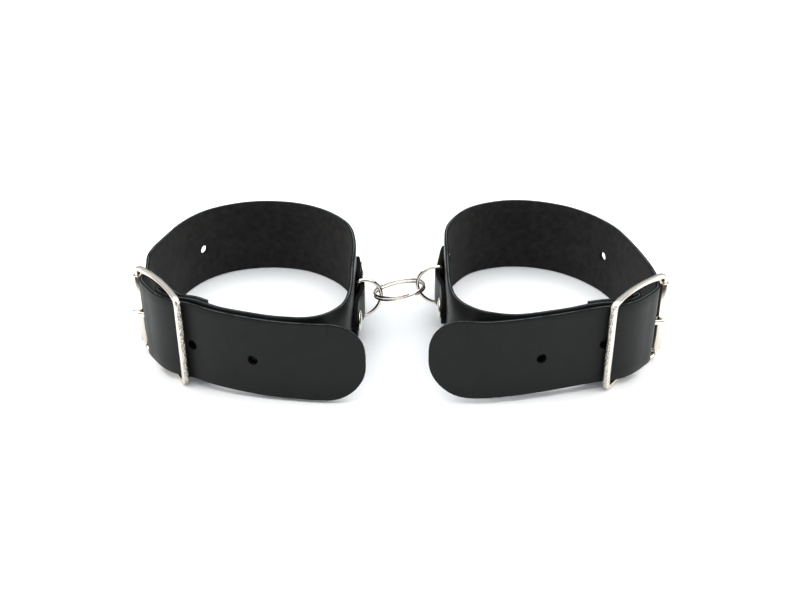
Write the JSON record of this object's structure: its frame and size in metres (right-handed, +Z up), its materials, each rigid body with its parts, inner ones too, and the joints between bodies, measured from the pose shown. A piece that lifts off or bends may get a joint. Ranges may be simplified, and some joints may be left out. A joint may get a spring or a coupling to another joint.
{
  "type": "leather wrist cuffs",
  "caption": "Black leather strap wrist cuffs with roller buckles, joined at riveted D-rings by a split ring.",
  "frame": {"origin": "middle of the footprint, on the surface that the cuffs stand on", "axes": "+Z up along the cuffs' height; X from the left cuff to the right cuff; -Y towards the buckled front"},
  "size_m": [0.192, 0.1, 0.035],
  "materials": {
    "leather": "smooth semi-gloss black",
    "nickel": "bright nickel plating"
  },
  "bodies": {
    "cuff_left": {"strap_left": "leather", "tab_left": "leather", "tab_rivet_head_1_left": "nickel", "tab_rivet_back_1_left": "nickel", "tab_rivet_head_2_left": "nickel", "tab_rivet_back_2_left": "nickel", "fold_rivet_head_1_left": "nickel", "fold_rivet_back_1_left": "nickel", "fold_rivet_head_2_left": "nickel", "fold_rivet_back_2_left": "nickel"},
    "buckle_left": {"buckle_frame_left": "nickel"},
    "roller_left": {"roller_left": "nickel"},
    "prong_left": {"prong_left": "nickel"},
    "d_ring_left": {"d_ring_left": "nickel"},
    "cuff_right": {"strap_right": "leather", "tab_right": "leather", "tab_rivet_head_1_right": "nickel", "tab_rivet_back_1_right": "nickel", "tab_rivet_head_2_right": "nickel", "tab_rivet_back_2_right": "nickel", "fold_rivet_head_1_right": "nickel", "fold_rivet_back_1_right": "nickel", "fold_rivet_head_2_right": "nickel", "fold_rivet_back_2_right": "nickel"},
    "buckle_right": {"buckle_frame_right": "nickel"},
    "roller_right": {"roller_right": "nickel"},
    "prong_right": {"prong_right": "nickel"},
    "d_ring_right": {"d_ring_right": "nickel"},
    "link_ring": {"link_ring": "nickel"}
  },
  "joints": [
    {"name": "buckle_rock_left", "type": "hinge", "parent": "cuff_left", "child": "buckle_left", "pos_m": [-0.08122, -0.02751, 0.0175], "axis": [0, 0, 1], "range_deg": [-1, 1]},
    {"name": "roller_spin_left", "type": "hinge", "parent": "buckle_left", "child": "roller_left", "pos_m": [-0.09257, -0.01504, 0.0175], "axis": [0, 0, 1], "continuous": true},
    {"name": "prong_lift_left", "type": "hinge", "parent": "buckle_left", "child": "prong_left", "pos_m": [-0.08122, -0.02751, 0.0175], "axis": [0, 0, 1], "range_deg": [0, 2]},
    {"name": "buckle_rock_right", "type": "hinge", "parent": "cuff_right", "child": "buckle_right", "pos_m": [0.07986, -0.03155, 0.0175], "axis": [0, 0, 1], "range_deg": [-1, 1]},
    {"name": "roller_spin_right", "type": "hinge", "parent": "buckle_right", "child": "roller_right", "pos_m": [0.09273, -0.02064, 0.0175], "axis": [0, 0, 1], "continuous": true},
    {"name": "prong_lift_right", "type": "hinge", "parent": "buckle_right", "child": "prong_right", "pos_m": [0.07986, -0.03155, 0.0175], "axis": [0, 0, -1], "range_deg": [0, 2]},
    {"name": "ring_swing_left", "type": "hinge", "parent": "cuff_left", "child": "d_ring_left", "pos_m": [-0.01517, -0.00494, 0.015], "axis": [0, 0, 1], "range_deg": [-30, 10]},
    {"name": "link_swing_left", "type": "hinge", "parent": "d_ring_left", "child": "link_ring", "pos_m": [-0.00664, -0.00149, 0.0144], "axis": [0, 0, 1], "range_deg": [-20, 8]},
    {"name": "link_lift_right", "type": "hinge", "parent": "link_ring", "child": "d_ring_right", "pos_m": [0.00817, 0.00773, 0.01539], "axis": [-0.4996, 0.8294, -0.25], "range_deg": [-18, 18]},
    {"name": "ring_swing_right", "type": "hinge", "parent": "d_ring_right", "child": "cuff_right", "pos_m": [0.01603, 0.00596, 0.015], "axis": [0, 0, -1], "range_deg": [-25, 25]}
  ]
}
